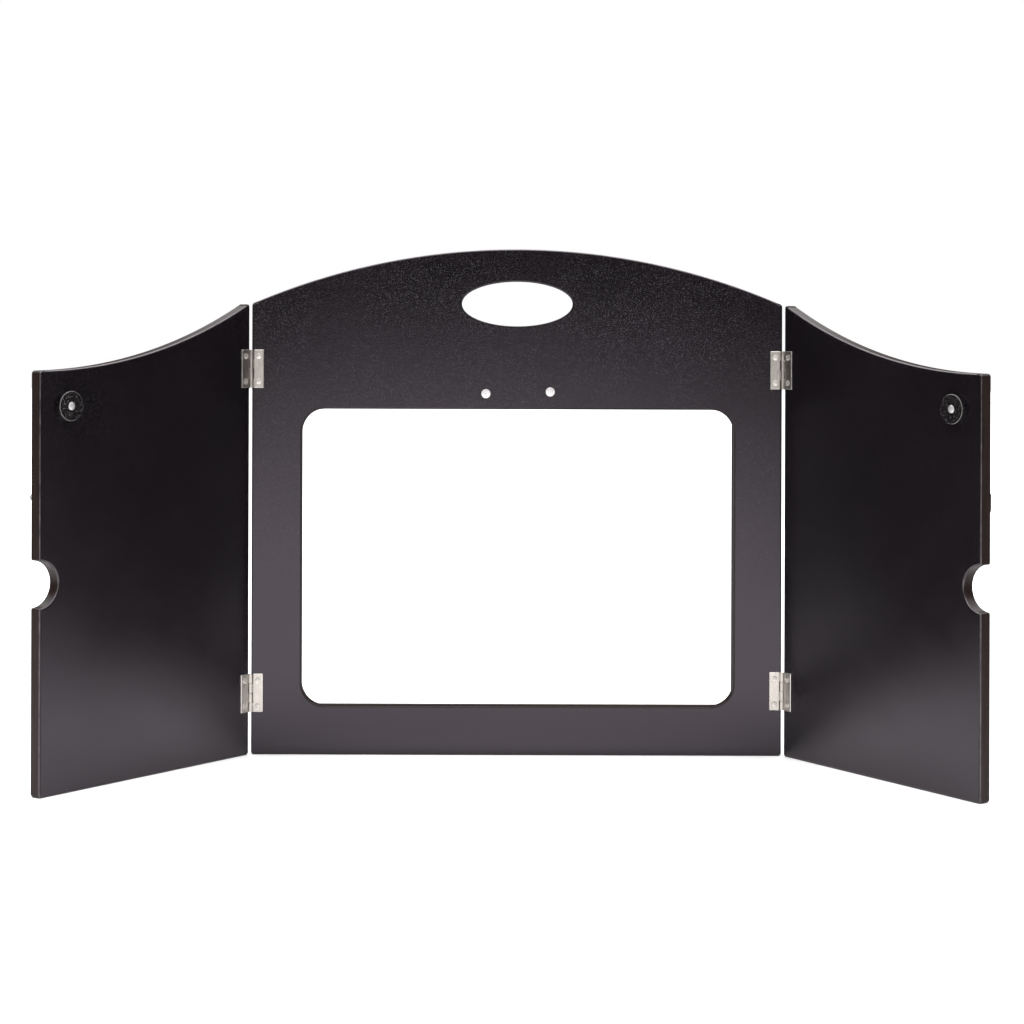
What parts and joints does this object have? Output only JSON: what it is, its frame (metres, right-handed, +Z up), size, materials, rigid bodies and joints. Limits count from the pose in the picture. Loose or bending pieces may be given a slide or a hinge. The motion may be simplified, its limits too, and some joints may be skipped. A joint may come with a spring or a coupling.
{
  "type": "tabletop picture-card theatre",
  "caption": "Free-standing wooden picture-card theatre: a panel with a picture window and carrying hole, and curved side doors on butt hinges.",
  "frame": {"origin": "middle of the underside of the window panel, half way through its thickness", "axes": "+X to the audience's right along the panel, +Y from the audience towards the card rails behind the panel, +Z up"},
  "size_m": [0.8251, 0.2428, 0.478],
  "materials": {
    "black_lacquered_board": "satin black lacquer over wood",
    "black_stained_rail": "matt black stain",
    "black_coated_magnet": "smooth black coating",
    "nickel_plated_steel": "satin nickel plate",
    "bright_screw_steel": "bright plated"
  },
  "bodies": {
    "main_panel": {"card_stop": "black_stained_rail", "card_stop_screw_lower": "bright_screw_steel", "card_stop_screw_middle": "bright_screw_steel", "card_stop_screw_upper": "bright_screw_steel", "front_panel": "black_lacquered_board", "left_keeper_screw": "bright_screw_steel", "lower_card_rail": "black_stained_rail", "lower_left_hinge_panel_leaf": "nickel_plated_steel", "lower_left_hinge_panel_screw_lower": "bright_screw_steel", "lower_left_hinge_panel_screw_upper": "bright_screw_steel", "lower_left_hinge_pin": "nickel_plated_steel", "lower_rail_screw_left": "bright_screw_steel", "lower_rail_screw_middle": "bright_screw_steel", "lower_rail_screw_right": "bright_screw_steel", "lower_right_hinge_panel_leaf": "nickel_plated_steel", "lower_right_hinge_panel_screw_lower": "bright_screw_steel", "lower_right_hinge_panel_screw_upper": "bright_screw_steel", "lower_right_hinge_pin": "nickel_plated_steel", "right_keeper_screw": "bright_screw_steel", "upper_card_rail": "black_stained_rail", "upper_left_hinge_panel_leaf": "nickel_plated_steel", "upper_left_hinge_panel_screw_lower": "bright_screw_steel", "upper_left_hinge_panel_screw_upper": "bright_screw_steel", "upper_left_hinge_pin": "nickel_plated_steel", "upper_right_hinge_panel_leaf": "nickel_plated_steel", "upper_right_hinge_panel_screw_lower": "bright_screw_steel", "upper_right_hinge_panel_screw_upper": "bright_screw_steel", "upper_right_hinge_pin": "nickel_plated_steel"},
    "left_wing": {"catch_screw": "bright_screw_steel", "left_door": "black_lacquered_board", "left_magnet": "black_coated_magnet", "left_magnet_screw": "bright_screw_steel", "lower_left_hinge_door_leaf": "nickel_plated_steel", "lower_left_hinge_door_screw_lower": "bright_screw_steel", "lower_left_hinge_door_screw_upper": "bright_screw_steel", "upper_left_hinge_door_leaf": "nickel_plated_steel", "upper_left_hinge_door_screw_lower": "bright_screw_steel", "upper_left_hinge_door_screw_upper": "bright_screw_steel"},
    "right_wing": {"lower_right_hinge_door_leaf": "nickel_plated_steel", "lower_right_hinge_door_screw_lower": "bright_screw_steel", "lower_right_hinge_door_screw_upper": "bright_screw_steel", "right_door": "black_lacquered_board", "right_magnet": "black_coated_magnet", "right_magnet_screw": "bright_screw_steel", "turn_button_screw": "bright_screw_steel", "upper_right_hinge_door_leaf": "nickel_plated_steel", "upper_right_hinge_door_screw_lower": "bright_screw_steel", "upper_right_hinge_door_screw_upper": "bright_screw_steel"},
    "button": {"turn_button": "nickel_plated_steel"}
  },
  "joints": [
    {"name": "left_door_hinge", "type": "hinge", "parent": "main_panel", "child": "left_wing", "pos_m": [-0.2508, -0.0076, 0.2], "axis": [0, 0, 1], "range_deg": [-53.6, 127.6]},
    {"name": "right_door_hinge", "type": "hinge", "parent": "main_panel", "child": "right_wing", "pos_m": [0.2508, -0.0076, 0.2], "axis": [0, 0, -1], "range_deg": [-57.2, 124]},
    {"name": "turn_button_pivot", "type": "hinge", "parent": "right_wing", "child": "button", "pos_m": [0.40241, -0.19998, 0.2555], "axis": [0.8211, 0.5707, 0], "continuous": true}
  ]
}
